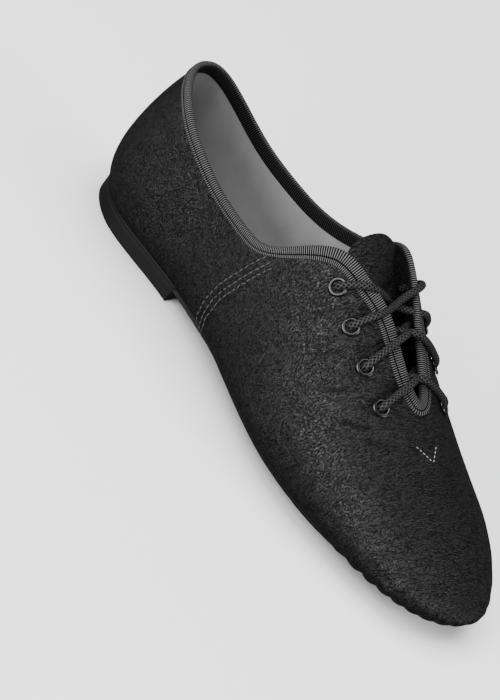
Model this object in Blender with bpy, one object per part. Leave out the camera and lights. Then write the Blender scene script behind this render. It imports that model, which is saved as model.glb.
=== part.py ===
"""A black lace-up jazz shoe for the right foot, standing empty on its sole.

Lengths are in metres and +Z is up. X runs from heel to toe and Y towards the shoe's inner side.
The origin is on the floor, under the middle of the heel. Upper, ribbon, sole, insole and tongue
all follow one closed last, whose sections are drawn by the functions below from the named sizes.
"""

import math

import bmesh
import bpy
import numpy as np
from mathutils import Matrix, Vector

# Driving sizes
LENGTH = 0.250
BALL_WIDTH = 0.087
LAST_HEIGHT = 0.088
HEEL_HEIGHT = 0.0050
HEEL_LENGTH = 0.0720
TOE_SPRING = 0.0035
WALL = 0.0014
SOLE_THICK = 0.0018
INSOLE_THICK = 0.0025
TONGUE_THICK = 0.0016
TONGUE_WIDTH = 0.0375
TONGUE_DIP = 0.0042
TONGUE_TILT = 0.0060
TONGUE_PRESS = 0.0025
RIBBON_THICK = 0.0007
RIBBON_WIDTH = 0.0088
RIBBON_DEPTH = 0.0063
COLLAR_DEPTH = 0.0035
END_DEPTH = 0.0055
LACE_DIAMETER = 0.0031
FIT_GAP = 0.0003
SOLE_GAP = 0.0006
RIBBON_GAP = 0.0004

# Margins between the outline of the last and the edges of what lies under it
HEEL_MARGIN = 0.0055
ARCH_MARGIN = 0.0120
HEEL_TAPER = 0.0007
BALL_MARGIN = 0.0130
TOE_MARGIN = 0.0240
TUCKED_UNDER = 0.0065
INSOLE_MARGIN = 0.0090

# Eyelet sizes
EYELET_RADIUS = 0.0040
EYELET_HOLE_RADIUS = 0.0021
EYELET_BARREL_RADIUS = 0.0025
EYELET_BACK_RADIUS = 0.0033
EYELET_HEIGHT = 0.0008
EYELET_GAP = 0.0005
EYELETS_A_SIDE = 4

# Places along the shoe, as shares of its length
HEEL_FAN = 0.144 * LENGTH
TOE_FAN = 0.180 * LENGTH
TREAD_BACK = 0.640 * LENGTH
TREAD_FRONT = 0.735 * LENGTH
COLLAR_FRONT = 0.375 * LENGTH
QUARTER_TOP = 0.472 * LENGTH
THROAT_END = 0.693 * LENGTH
THROAT_ROUND = 0.028 * LENGTH
TONGUE_TOP = 0.445 * LENGTH
TONGUE_ROOT = 0.765 * LENGTH
FIRST_EYELET = 0.509 * LENGTH
LAST_EYELET = 0.690 * LENGTH

# Shape numbers of the last's curves
END_ROUND = 2.3
LOW_ROUND = 2.3
HEEL_FLAT = 0.72
BALL_FLAT = 0.62
SPRING_POWER = 1.8
HEEL_TURN = 0.16
TOE_TURN = 0.20
TOE_CENTRE = LENGTH - TOE_FAN

# Sections of the last: station as a share of the length, half widths as shares of half the ball
# width, the middle line's offset as a share of the ball width, and the heights of the widest line
# and of the top line above the bottom as shares of the last's height.
LAST_COLUMNS = ("station", "lateral", "medial", "axis", "belly", "ridge")
LAST = (
    (0.00, 0.53, 0.48, 0.004, 0.282, 1.072),
    (0.14, 0.655, 0.555, -0.011, 0.260, 0.992),
    (0.28, 0.59, 0.64, -0.010, 0.241, 0.997),
    (0.42, 0.73, 0.71, -0.001, 0.227, 1.030),
    (0.56, 0.92, 0.865, 0.009, 0.194, 0.831),
    (0.68, 1.00, 0.995, 0.018, 0.177, 0.617),
    (0.80, 0.94, 1.005, 0.044, 0.150, 0.431),
    (0.90, 0.845, 0.848, 0.066, 0.116, 0.317),
    (1.00, 0.775, 0.62, 0.071, 0.083, 0.183),
)

# The top edge: station as a share of the throat's end, and the girth angle in degrees at which
# the wall stops on each side, 0 at the widest line and 90 at the top line.
EDGE_COLUMNS = ("station", "lateral", "medial")
TOP_EDGE = (
    (0.00, 31.5, 31.5),
    (0.17, 28.5, 24.5),
    (0.34, 21.4, 23.5),
    (0.47, 20.2, 25.4),
    (0.54, 23.8, 29.8),
    (0.59, 32.4, 36.0),
    (0.67, 52.5, 56.0),
    (0.75, 65.4, 68.5),
    (0.835, 77.3, 76.5),
    (0.92, 82.3, 81.5),
    (0.97, 85.0, 84.5),
    (1.00, 86.5, 85.5),
)

# Girth angles in degrees of the first and the last eyelet, on either side
EYELET_ANGLES = (49.0, 62.5)

# Mesh densities
GIRTH_COLUMNS = 88
WALL_ROWS = 13
RIBBON_ROW = 12 / 13
BELLY_ROW = 4 / 13
SOLE_COLUMNS = 56
EYELET_SIDES = 10
LACE_POINTS = 12

BLACK = (0.012, 0.012, 0.013)


def through(columns, rows, name):
    """A natural cubic curve through one named column of a table, against its first column."""
    x = np.array([row[0] for row in rows])
    y = np.array([row[columns.index(name)] for row in rows])
    step = np.diff(x)
    slope = np.diff(y) / step
    system = np.eye(len(x))
    bend = np.zeros(len(x))
    for i in range(1, len(x) - 1):
        system[i, i - 1 : i + 2] = step[i - 1], 2 * (step[i - 1] + step[i]), step[i]
        bend[i] = 6 * (slope[i] - slope[i - 1])
    bend = np.linalg.solve(system, bend)

    def at(share):
        share = np.clip(share, x[0], x[-1])
        i = np.clip(np.searchsorted(x, share) - 1, 0, len(step) - 1)
        before = (x[i + 1] - share) / step[i]
        after = 1 - before
        curve = (before**3 - before) * bend[i] + (after**3 - after) * bend[i + 1]
        return before * y[i] + after * y[i + 1] + curve * step[i] ** 2 / 6

    return at


LATERAL_WIDTH = through(LAST_COLUMNS, LAST, "lateral")
MEDIAL_WIDTH = through(LAST_COLUMNS, LAST, "medial")
AXIS = through(LAST_COLUMNS, LAST, "axis")
BELLY = through(LAST_COLUMNS, LAST, "belly")
RIDGE = through(LAST_COLUMNS, LAST, "ridge")
LATERAL_EDGE = through(EDGE_COLUMNS, TOP_EDGE, "lateral")
MEDIAL_EDGE = through(EDGE_COLUMNS, TOP_EDGE, "medial")


def smooth(share):
    """A smooth step from 0 to 1."""
    share = np.clip(share, 0, 1)
    return share * share * (3 - 2 * share)


def half_width(x, side):
    """The last's half width on the outer side, -1, or on the inner side, 1."""
    share = np.where(side < 0, LATERAL_WIDTH(x / LENGTH), MEDIAL_WIDTH(x / LENGTH))
    return share * BALL_WIDTH / 2


def axis(x):
    return AXIS(x / LENGTH) * BALL_WIDTH


def sole_underside(x):
    """Height of the sole's underside: level on the heel, arched, flat at the tread, sprung."""
    arch = smooth((TREAD_BACK - x) / (TREAD_BACK - HEEL_LENGTH))
    toe = np.clip((x - TREAD_FRONT) / (LENGTH - TREAD_FRONT), 0, 1)
    return (HEEL_HEIGHT + 2 * FIT_GAP) * arch + TOE_SPRING * toe**SPRING_POWER


def last_bottom(x):
    return sole_underside(x) + SOLE_THICK + SOLE_GAP


def belly(x):
    return last_bottom(x) + BELLY(x / LENGTH) * LAST_HEIGHT


def ridge(x):
    return last_bottom(x) + RIDGE(x / LENGTH) * LAST_HEIGHT


def outline(p, side):
    """The last's widest line in plan, p running from 0 at the heel's back to 1 at the toe."""
    heel = np.clip(p / HEEL_TURN, 0, 1) * math.pi / 2
    toe = np.clip((p - 1 + TOE_TURN) / TOE_TURN, 0, 1) * math.pi / 2
    along = np.clip((p - HEEL_TURN) / (1 - HEEL_TURN - TOE_TURN), 0, 1)
    power = 2 / END_ROUND
    x = HEEL_FAN * (1 - np.cos(heel) ** power) + along * (TOE_CENTRE - HEEL_FAN)
    x = x + TOE_FAN * np.sin(toe) ** power
    across = np.maximum(np.sin(heel) * np.cos(toe), 0) ** power
    return x, axis(x) + side * half_width(x, side) * across


def spine(x):
    """The point that the section through an outline point is drawn from."""
    centre = np.clip(x, HEEL_FAN, TOE_CENTRE)
    return centre, axis(centre)


def on_section(p, side, reach):
    """The plan point at a share of the way from the spine to the outline."""
    x, y = outline(p, side)
    centre_x, centre_y = spine(x)
    return centre_x + reach * (x - centre_x), centre_y + reach * (y - centre_y)


def radius(p, side):
    """The distance in plan from the spine to the outline."""
    x, y = outline(p, side)
    centre_x, centre_y = spine(x)
    return np.hypot(x - centre_x, y - centre_y)


def fan_rays(start, end):
    """Directions and lengths of the outline's rays round one fan's centre."""
    rays = []
    for side in (-1, 1):
        p = np.linspace(start, end, 120)[::-side]
        x, y = outline(p, side)
        centre_x, centre_y = spine(x)
        rays.append((np.arctan2(y - centre_y, np.abs(x - centre_x)), radius(p, side)))
    return [np.concatenate(pair) for pair in zip(*rays)]


HEEL_RAYS = fan_rays(HEEL_TURN, 0.0)
TOE_RAYS = fan_rays(1 - TOE_TURN, 1.0)


def reach_at(x, y):
    """The share of the way from the spine to the outline at which a plan point lies."""
    centre_x, centre_y = spine(x)
    ahead = np.abs(x - centre_x)
    across = y - centre_y
    turn = np.arctan2(across, ahead)
    ray = np.where(x < centre_x, np.interp(turn, *HEEL_RAYS), np.interp(turn, *TOE_RAYS))
    straight = np.abs(across) / half_width(x, np.sign(across))
    return np.where(ahead > 0, np.hypot(ahead, across) / ray, straight)


def top_height(x, y):
    """The height of the last's upper surface over a plan point."""
    reach = np.clip(reach_at(x, y), 0, 1)
    return belly(x) + (ridge(x) - belly(x)) * np.sqrt(1 - reach**2)


def top_point(x, y):
    return np.stack([x, y, top_height(x, y)], -1)


def top_normal(x, y, step=0.0001):
    """The outward normal of the last's upper surface over a plan point."""
    rise_x = (top_height(x + step, y) - top_height(x - step, y)) / (2 * step)
    rise_y = (top_height(x, y + step) - top_height(x, y - step)) / (2 * step)
    normal = np.stack([-rise_x, -rise_y, np.ones_like(rise_x)], -1)
    return normal / np.linalg.norm(normal, axis=-1, keepdims=True)


def low_point(p, side, reach):
    """A point of the last below its widest line."""
    x, y = on_section(p, side, reach)
    flat = HEEL_FLAT + (BALL_FLAT - HEEL_FLAT) * smooth((p - HEEL_TURN) / (1 - HEEL_TURN - TOE_TURN))
    turn = np.clip((reach - flat) / (1 - flat), 0, 1)
    rise = 1 - (1 - turn**LOW_ROUND) ** (1 / LOW_ROUND)
    return np.stack([x, y, last_bottom(x) + (belly(x) - last_bottom(x)) * rise], -1)


def section_at(x):
    """The outline parameter of a station between the two fans."""
    return HEEL_TURN + (1 - HEEL_TURN - TOE_TURN) * (x - HEEL_FAN) / (TOE_CENTRE - HEEL_FAN)


def girdle(u):
    """Side and outline parameter once round the shoe: heel, outer side, toe, inner side."""
    return np.where(u < 0.5, -1, 1), np.where(u < 0.5, 2 * u, 2 - 2 * u)


def top_edge(u):
    """Plan point of the top edge: collar, throat and its round end, for a place on the girdle."""
    side, share = girdle(u)
    start, end = section_at(QUARTER_TOP), section_at(THROAT_END)
    rest = np.clip((share - start) / (1 - start), 0, 1)
    eased = start + (end - start) * (1 - (1 - rest) ** ((1 - start) / (end - start)))
    p = np.where(share < start, share, eased)
    x = outline(p, side)[0]
    station = x / THROAT_END
    angle = np.where(side < 0, LATERAL_EDGE(station), MEDIAL_EDGE(station))
    closing = np.clip((x - THROAT_END + THROAT_ROUND) / THROAT_ROUND, 0, 1)
    reach = np.cos(np.radians(angle)) * np.sqrt(1 - closing**2)
    return np.stack(on_section(p, side, reach), -1)


def below_edge(u, distance, steps=4, span=0.002):
    """Plan point that lies a distance below the top edge, square to it over the surface."""
    before, after = top_edge((u - span) % 1), top_edge((u + span) % 1)
    along = top_point(*after.T) - top_point(*before.T)
    plan = top_edge(u)
    down = np.cross(along, top_normal(*plan.T))
    for _ in range(steps):
        normal = top_normal(*plan.T)
        down = down - np.sum(down * normal, -1, keepdims=True) * normal
        down = down / np.linalg.norm(down, axis=-1, keepdims=True)
        plan = plan + down[:, :2] * (distance / steps)[:, None]
    return plan


def ribbon_depth(u):
    """Depth of the ribbon's outer leg: wide along the throat, less round the collar and its end."""
    x = top_edge(u)[:, 0]
    along = smooth((x - COLLAR_FRONT) / (1.1 * (QUARTER_TOP - COLLAR_FRONT)))
    ending = smooth((x - THROAT_END + 1.5 * THROAT_ROUND) / (1.5 * THROAT_ROUND))
    depth = COLLAR_DEPTH + (RIBBON_DEPTH - COLLAR_DEPTH) * along
    return depth - (RIBBON_DEPTH - END_DEPTH) * ending


def wall_points(u, v, lowest_reach):
    """Points of the upper's outer face, v running from 0 at its lower edge to 1 at the top edge."""
    side, p = girdle(u)
    ribbon = below_edge(u, ribbon_depth(u) * np.clip((1 - v) / (1 - RIBBON_ROW), 0, 1))
    widest = np.stack(outline(p, side), -1)
    steep = np.arccos(np.clip(reach_at(*ribbon.T), 0, 1))
    fall = np.clip((RIBBON_ROW - v) / (RIBBON_ROW - BELLY_ROW), 0, 1)
    share = (np.cos(steep * (1 - fall)) - np.cos(steep)) / (1 - np.cos(steep))
    high = top_point(*(ribbon + (widest - ribbon) * share[:, None]).T)
    under = np.clip(1 - v / BELLY_ROW, 0, 1)
    reach = 1 - (1 - lowest_reach) * (1 - np.cos(under * math.pi / 2) ** (2 / LOW_ROUND))
    low = low_point(p, side, reach)
    return np.where((v < BELLY_ROW)[:, None], low, high)


def sole_margin(p):
    """How far inside the last's outline the sole's edge lies."""
    heel_end = section_at(HEEL_LENGTH)
    arch = (ARCH_MARGIN - HEEL_MARGIN) * smooth((p - heel_end) / HEEL_TURN)
    ball = (BALL_MARGIN - ARCH_MARGIN) * smooth((p - 0.5) / TOE_TURN)
    toe = (TOE_MARGIN - BALL_MARGIN) * smooth((p - 1 + 1.5 * TOE_TURN) / (1.5 * TOE_TURN))
    return HEEL_MARGIN + arch + ball + toe


def sole_reach(p, side):
    return 1 - sole_margin(p) / radius(p, side)


def upper_reach(p, side):
    """Where the upper's turned-under edge ends, above the sole's margin."""
    return 1 - (sole_margin(p) + TUCKED_UNDER) / radius(p, side)


def insole_reach(p, side):
    return 1 - INSOLE_MARGIN / radius(p, side)


def material(name, roughness, metallic=0.0, colour=BLACK):
    made = bpy.data.materials.new(name)
    made.use_nodes = True
    shader = made.node_tree.nodes["Principled BSDF"]
    shader.inputs["Base Color"].default_value = (*colour, 1)
    shader.inputs["Roughness"].default_value = roughness
    shader.inputs["Metallic"].default_value = metallic
    return made


def piece(name, mesh, finish, carrier):
    """An object that stands on the carrier's origin."""
    made = bpy.data.objects.new(name, mesh)
    mesh.materials.append(finish)
    mesh.shade_smooth()
    mesh.set_sharp_from_angle(angle=math.radians(40))
    bpy.context.scene.collection.objects.link(made)
    made.parent = carrier
    return made


def mesh_from(made, name, merge=True):
    """A finished mesh with its doubles merged."""
    if merge:
        bmesh.ops.remove_doubles(made, verts=made.verts, dist=1e-6)
    bmesh.ops.recalc_face_normals(made, faces=made.faces)
    mesh = bpy.data.meshes.new(name)
    made.to_mesh(mesh)
    made.free()
    return mesh


def grid(columns, rows):
    """A flat grid and its vertices' places as two shares."""
    made = bmesh.new()
    bmesh.ops.create_grid(made, x_segments=columns, y_segments=rows, size=0.5)
    places = np.array([vertex.co[:2] for vertex in made.verts]) + 0.5
    return made, places[:, 0], places[:, 1]


def place(made, points):
    for vertex, point in zip(made.verts, points):
        vertex.co = point


def thicken(made, shift):
    """Closes a sheet into a slab by copying it and moving the copy."""
    bmesh.ops.remove_doubles(made, verts=made.verts, dist=1e-6)
    copied = bmesh.ops.extrude_face_region(made, geom=list(made.faces))
    moved = [item for item in copied["geom"] if isinstance(item, bmesh.types.BMVert)]
    for vertex in moved:
        vertex.co += Vector(shift(vertex.co))


def upper_mesh():
    made, u, v = grid(GIRTH_COLUMNS, WALL_ROWS)
    side, p = girdle(u)
    place(made, wall_points(u, v, upper_reach(p, side)))
    bmesh.ops.remove_doubles(made, verts=made.verts, dist=1e-6)
    mesh = bpy.data.meshes.new("upper")
    made.to_mesh(mesh)
    made.free()
    return mesh


def eyelet_place(index, side):
    """Centre and outward normal of one eyelet on the leather's outer face."""
    share = index / (EYELETS_A_SIDE - 1)
    x = FIRST_EYELET + (LAST_EYELET - FIRST_EYELET) * share
    first, last = EYELET_ANGLES
    reach = math.cos(math.radians(first + (last - first) * share))
    x, y = (np.array([value]) for value in on_section(section_at(x), side, reach))
    return Vector(top_point(x, y)[0]), Vector(top_normal(x, y)[0])


def eyelet_matrix(index, side):
    centre, normal = eyelet_place(index, side)
    return Matrix.Translation(centre) @ normal.to_track_quat("Z", "Y").to_matrix().to_4x4()


def eyelet_mesh():
    """A rolled ring: a domed flange outside, a barrel through the wall and a clinched back."""
    top = EYELET_GAP + EYELET_HEIGHT
    back = -WALL - EYELET_GAP
    profile = (
        (EYELET_RADIUS, EYELET_GAP),
        (EYELET_RADIUS - EYELET_HEIGHT / 2, top),
        (EYELET_BARREL_RADIUS, top),
        (EYELET_HOLE_RADIUS, EYELET_GAP),
        (EYELET_HOLE_RADIUS, back - EYELET_HEIGHT / 2),
        (EYELET_BACK_RADIUS, back - EYELET_HEIGHT / 2),
        (EYELET_BACK_RADIUS, back),
        (EYELET_BARREL_RADIUS, back),
        (EYELET_BARREL_RADIUS, EYELET_GAP),
    )
    made = bmesh.new()
    corners = [made.verts.new((r, 0, z)) for r, z in profile]
    edges = [made.edges.new((a, b)) for a, b in zip(corners, corners[1:] + corners[:1])]
    bmesh.ops.spin(
        made,
        geom=corners + edges,
        axis=(0, 0, 1),
        cent=(0, 0, 0),
        angle=2 * math.pi,
        steps=EYELET_SIDES,
        use_merge=True,
    )
    return mesh_from(made, "eyelet", merge=False)


def hole_cutters():
    """Cylinders that cut the eyelets' holes through the wall."""
    made = bmesh.new()
    for side in (-1, 1):
        for index in range(EYELETS_A_SIDE):
            bmesh.ops.create_cone(
                made,
                cap_ends=True,
                segments=EYELET_SIDES,
                radius1=EYELET_BARREL_RADIUS + FIT_GAP,
                radius2=EYELET_BARREL_RADIUS + FIT_GAP,
                depth=6 * WALL,
                matrix=eyelet_matrix(index, side),
            )
    return mesh_from(made, "eyelet_holes", merge=False)


def ribbon_mesh():
    """The ribbon folded over the top edge, with one leg outside and one inside the wall."""
    outside, outer_face = RIBBON_GAP, RIBBON_GAP + RIBBON_THICK
    inside, inner_face = -WALL - RIBBON_GAP, -WALL - RIBBON_GAP - RIBBON_THICK
    profile = (
        (1, 0, 0, outer_face),
        (0, 0, 0, outer_face),
        (0, 0, -outer_face, -WALL / 4),
        (0, 0, -outer_face, -WALL * 3 / 4),
        (0, 0, 0, inner_face),
        (0, 1, 0, inner_face),
        (0, 1, 0, inside),
        (0, 0, -RIBBON_GAP, inside),
        (0, 0, -RIBBON_GAP, outside),
        (1, 0, 0, outside),
    )
    made, u, v = grid(GIRTH_COLUMNS, len(profile))
    row = np.rint(v * len(profile)).astype(int) % len(profile)
    outer_leg, inner_leg, rise, out = np.array(profile)[row].T
    depth = ribbon_depth(u)
    down = outer_leg * depth + inner_leg * (RIBBON_WIDTH - depth) + rise
    plan = below_edge(u, np.maximum(down, 0))
    span = 0.002
    along = top_point(*top_edge((u + span) % 1).T) - top_point(*top_edge((u - span) % 1).T)
    normal = top_normal(*plan.T)
    below = np.cross(along, normal)
    below = below / np.linalg.norm(below, axis=-1, keepdims=True)
    points = top_point(*plan.T) + normal * out[:, None] + below * np.minimum(down, 0)[:, None]
    place(made, points)
    return mesh_from(made, "topline_ribbon")


def sole_sheet(columns, rings, reach, lift):
    """A sheet that follows the last's bottom out to a reach, moved up or down."""
    made, u, v = grid(columns, rings)
    side, p = girdle(u)
    points = low_point(p, side, np.sqrt(v) * reach(p, side))
    points[:, 2] += lift
    place(made, points)
    return made


def outsole_mesh():
    made = sole_sheet(SOLE_COLUMNS, 4, sole_reach, -SOLE_GAP)
    thicken(made, lambda co: (0, 0, -SOLE_THICK))
    return mesh_from(made, "outsole")


def insole_mesh():
    made = sole_sheet(SOLE_COLUMNS, 3, insole_reach, WALL + 3 * FIT_GAP)
    thicken(made, lambda co: (0, 0, INSOLE_THICK))
    return mesh_from(made, "insole")


def heel_mesh():
    """The block under the heel: its top follows the sole and its floor face is flat."""
    made, u, v = grid(28, 3)
    side = np.where(u < 0.5, -1, 1)
    p = section_at(HEEL_LENGTH) * np.abs(2 * u - 1)
    reach = np.sqrt(v) * (1 - HEEL_MARGIN / radius(p, side))
    points = low_point(p, side, reach)
    points[:, 2] -= SOLE_THICK + SOLE_GAP + 2 * FIT_GAP
    place(made, points)
    middle = Vector((heel_middle(), axis(heel_middle()), 0))
    slope = 1 - 2 * HEEL_TAPER / HEEL_LENGTH

    def to_floor(co):
        floor = middle + (co - middle) * slope
        return floor.x - co.x, floor.y - co.y, -co.z

    thicken(made, to_floor)
    return mesh_from(made, "heel")


def heel_middle():
    return (HEEL_MARGIN + HEEL_LENGTH) / 2


def tongue_mesh():
    """The tongue: a bowed strip from under the throat's end to above the quarters."""
    made, u, v = grid(12, 8)
    x = TONGUE_ROOT + (TONGUE_TOP - TONGUE_ROOT) * u
    wide = TONGUE_WIDTH * (1 - 0.1 * smooth(u))
    x = x + 0.10 * (TONGUE_ROOT - TONGUE_TOP) * (2 * np.abs(v - 0.5)) ** 3 * (2 * u - 1)
    y = axis(x) + (1 - 2 * v) * wide / 2
    seat = WALL + RIBBON_THICK + 2 * FIT_GAP
    under_lace = seat + LACE_DIAMETER + 4 * FIT_GAP
    ease = smooth((TONGUE_ROOT - x) / (TONGUE_ROOT - LAST_EYELET - EYELET_RADIUS))
    free = smooth((FIRST_EYELET - x) / (FIRST_EYELET - TONGUE_TOP))
    pressed = TONGUE_PRESS * ease * (1 - free) * (1 - (2 * v - 1) ** 2)
    drop = seat + (under_lace - seat) * ease + TONGUE_DIP * free + pressed
    bowed = axis(x) + (y - axis(x) - TONGUE_TILT * free) * (1 - 0.2 * free)
    down = top_normal(x, bowed) * (1 - free)[:, None] + np.array((0, 0, 1)) * free[:, None]
    place(made, np.stack([x, y, top_height(x, bowed)], -1) - down * drop[:, None])
    mesh = bpy.data.meshes.new("tongue")
    made.to_mesh(mesh)
    made.free()
    return mesh


# Heights of a lace's middle line above the last: on the leather, on the ribbon, and below both
LACE_LOW = 2 * FIT_GAP + LACE_DIAMETER / 2
LACE_HIGH = RIBBON_GAP + RIBBON_THICK + 3 * FIT_GAP + LACE_DIAMETER / 2
LACE_UNDER = -(WALL + RIBBON_GAP + RIBBON_THICK + 2 * FIT_GAP + LACE_DIAMETER / 2)
LACE_SAG = 0.0045

# Runs of a lace between two eyelets: shares of the way, and the middle line's heights there
DIVING = ((0.14, LACE_LOW), (0.21, LACE_HIGH), (0.42, LACE_HIGH), (0.55, LACE_UNDER), (1.0, LACE_UNDER))
CROSSING = (
    (0.10, LACE_HIGH),
    (0.35, LACE_HIGH),
    (0.50, LACE_HIGH - LACE_SAG),
    (0.65, LACE_HIGH),
    (0.90, LACE_HIGH),
)
BAR = ((0.0, LACE_UNDER), (1.0, LACE_UNDER))


def lace_mesh(name, start, end, run):
    """One run of round lace between two eyelets, each given by its index and side."""
    first, last = (eyelet_place(*eyelet)[0] for eyelet in (start, end))
    stops, heights = np.array(run).T
    from_middle = np.linspace(-1, 1, LACE_POINTS)
    share = (1 + from_middle * np.abs(from_middle) ** 0.6) / 2
    share = stops[0] + (stops[-1] - stops[0]) * share
    x = first.x + (last.x - first.x) * share
    y = first.y + (last.y - first.y) * share
    nearest = np.clip(np.searchsorted(stops, share, side="right") - 1, 0, len(stops) - 2)
    between = (share - stops[nearest]) / (stops[nearest + 1] - stops[nearest])
    height = heights[nearest] + (heights[nearest + 1] - heights[nearest]) * smooth(between)
    points = top_point(x, y) + top_normal(x, y) * height[:, None]
    curve = bpy.data.curves.new(name, "CURVE")
    curve.dimensions = "3D"
    curve.bevel_depth = LACE_DIAMETER / 2
    curve.bevel_resolution = 2
    curve.use_fill_caps = True
    spline = curve.splines.new("POLY")
    spline.points.add(len(points) - 1)
    for knot, point in zip(spline.points, points):
        knot.co = (*point, 1)
    bare = bpy.data.objects.new(name, curve)
    bpy.context.scene.collection.objects.link(bare)
    bpy.context.view_layer.update()
    mesh = bpy.data.meshes.new_from_object(bare.evaluated_get(bpy.context.evaluated_depsgraph_get()))
    bpy.data.objects.remove(bare)
    return mesh


def lace_crossing(name, lower, higher, run, finish, carrier):
    """Two runs that cross over the tongue, joined where they cross."""
    outer, inner = (
        piece(label, lace_mesh(label, (lower, side), (higher, -side), run), finish, carrier)
        for label, side in ((name, -1), (name + "_other", 1))
    )
    join = outer.modifiers.new("crossing", "BOOLEAN")
    join.operation = "UNION"
    join.object = inner
    inner.hide_render = True
    inner.display_type = "WIRE"


def main():
    for old in list(bpy.data.objects):
        bpy.data.objects.remove(old)
    shoe = bpy.data.objects.new("jazz_shoe", None)
    shoe.location = (-heel_middle(), -axis(heel_middle()), 0)
    bpy.context.scene.collection.objects.link(shoe)

    leather = material("black_leather", 0.45)
    ribbon = material("black_grosgrain", 0.7)
    rubber = material("black_rubber", 0.5)
    suede = material("black_suede", 0.95)
    board = material("insole_board", 0.9, colour=(0.10, 0.10, 0.10))
    enamel = material("black_enamel", 0.3, metallic=0.4)
    cord = material("black_braid", 0.8)

    upper = piece("upper", upper_mesh(), leather, shoe)
    wall = upper.modifiers.new("wall", "SOLIDIFY")
    wall.thickness = WALL
    wall.offset = -1
    wall.use_even_offset = True
    cutters = piece("eyelet_holes", hole_cutters(), leather, shoe)
    cutters.hide_render = True
    cutters.display_type = "WIRE"
    holes = upper.modifiers.new("holes", "BOOLEAN")
    holes.operation = "DIFFERENCE"
    holes.object = cutters

    piece("topline_ribbon", ribbon_mesh(), ribbon, shoe)
    piece("outsole", outsole_mesh(), suede, shoe)
    piece("insole", insole_mesh(), board, shoe)
    piece("heel", heel_mesh(), rubber, shoe)
    tongue = piece("tongue", tongue_mesh(), leather, shoe)
    lining = tongue.modifiers.new("thickness", "SOLIDIFY")
    lining.thickness = TONGUE_THICK
    lining.offset = -1

    ring = eyelet_mesh()
    ring.materials.append(enamel)
    ring.shade_smooth()
    for side, name in ((-1, "lateral"), (1, "medial")):
        for index in range(EYELETS_A_SIDE):
            eyelet = bpy.data.objects.new(f"eyelet_{name}_{index + 1}", ring)
            bpy.context.scene.collection.objects.link(eyelet)
            eyelet.parent = shoe
            eyelet.matrix_local = eyelet_matrix(index, side)

    piece("lace_bar", lace_mesh("lace_bar", (3, -1), (3, 1), BAR), cord, shoe)
    lace_crossing("lace_crossing_low", 3, 2, DIVING, cord, shoe)
    lace_crossing("lace_crossing_middle", 2, 1, DIVING, cord, shoe)
    lace_crossing("lace_crossing_top", 1, 0, CROSSING, cord, shoe)


if __name__ == "__main__":
    main()
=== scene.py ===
"""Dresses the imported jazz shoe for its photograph: leather, ribbon, lining, lace, sole and stage.

The last's surface is drawn by the same functions and named sizes as in the part's source, in the
last's own frame, whose X starts at the heel's back. stand() moves a finished piece to the frame
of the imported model. Lengths are in metres.
"""

import math

import bmesh
import bpy
import numpy as np
from mathutils import Matrix, Vector
from mathutils.bvhtree import BVHTree


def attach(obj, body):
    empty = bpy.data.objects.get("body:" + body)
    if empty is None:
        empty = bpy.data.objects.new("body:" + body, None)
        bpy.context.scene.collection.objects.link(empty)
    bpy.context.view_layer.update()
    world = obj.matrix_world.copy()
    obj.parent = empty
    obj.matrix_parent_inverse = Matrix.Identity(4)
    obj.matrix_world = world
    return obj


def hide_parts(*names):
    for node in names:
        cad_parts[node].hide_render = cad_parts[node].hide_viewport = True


bl_info = {
    "name": "Jazz shoe dressing",
    "version": (1, 0, 0),
    "blender": (4, 5, 0),
    "location": "View3D > Sidebar > Jazz Shoe",
    "description": "Leather, ribbon, lining, lace and sole of a black jazz shoe",
    "category": "Object",
}

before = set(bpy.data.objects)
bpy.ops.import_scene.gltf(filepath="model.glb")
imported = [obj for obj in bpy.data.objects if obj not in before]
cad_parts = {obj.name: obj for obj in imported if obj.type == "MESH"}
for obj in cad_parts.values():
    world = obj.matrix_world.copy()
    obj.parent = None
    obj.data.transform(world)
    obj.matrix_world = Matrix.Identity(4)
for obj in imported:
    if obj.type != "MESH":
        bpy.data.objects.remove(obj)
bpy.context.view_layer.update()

# Named sizes of the last and its pieces, as in the part's source
LENGTH = 0.250
BALL_WIDTH = 0.087
LAST_HEIGHT = 0.088
HEEL_HEIGHT = 0.0050
HEEL_LENGTH = 0.0720
TOE_SPRING = 0.0035
WALL = 0.0014
SOLE_THICK = 0.0018
INSOLE_THICK = 0.0025
TONGUE_THICK = 0.0016
TONGUE_WIDTH = 0.0375
TONGUE_DIP = 0.0042
TONGUE_TILT = 0.0060
TONGUE_PRESS = 0.0025
RIBBON_THICK = 0.0007
FIT_GAP = 0.0003
SOLE_GAP = 0.0006
RIBBON_WIDTH = 0.0088
RIBBON_DEPTH = 0.0063
COLLAR_DEPTH = 0.0035
END_DEPTH = 0.0055
HEEL_MARGIN = 0.0055
ARCH_MARGIN = 0.0120
HEEL_TAPER = 0.0007
BALL_MARGIN = 0.0130
TOE_MARGIN = 0.0240
HEEL_RIM_GAP = 0.0001
TUCKED_UNDER = 0.0065
INSOLE_MARGIN = 0.0090
EYELETS_A_SIDE = 4
HEEL_FAN = 0.144 * LENGTH
TOE_FAN = 0.180 * LENGTH
TREAD_BACK = 0.640 * LENGTH
TREAD_FRONT = 0.735 * LENGTH
COLLAR_FRONT = 0.375 * LENGTH
QUARTER_TOP = 0.472 * LENGTH
THROAT_END = 0.693 * LENGTH
THROAT_ROUND = 0.028 * LENGTH
TONGUE_TOP = 0.445 * LENGTH
TONGUE_ROOT = 0.765 * LENGTH
FIRST_EYELET = 0.509 * LENGTH
LAST_EYELET = 0.690 * LENGTH
END_ROUND = 2.3
LOW_ROUND = 2.3
HEEL_FLAT = 0.72
BALL_FLAT = 0.62
SPRING_POWER = 1.8
HEEL_TURN = 0.16
TOE_TURN = 0.20
TOE_CENTRE = LENGTH - TOE_FAN
EYELET_ANGLES = (49.0, 62.5)
RIBBON_ROW = 12 / 13
BELLY_ROW = 4 / 13

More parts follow.
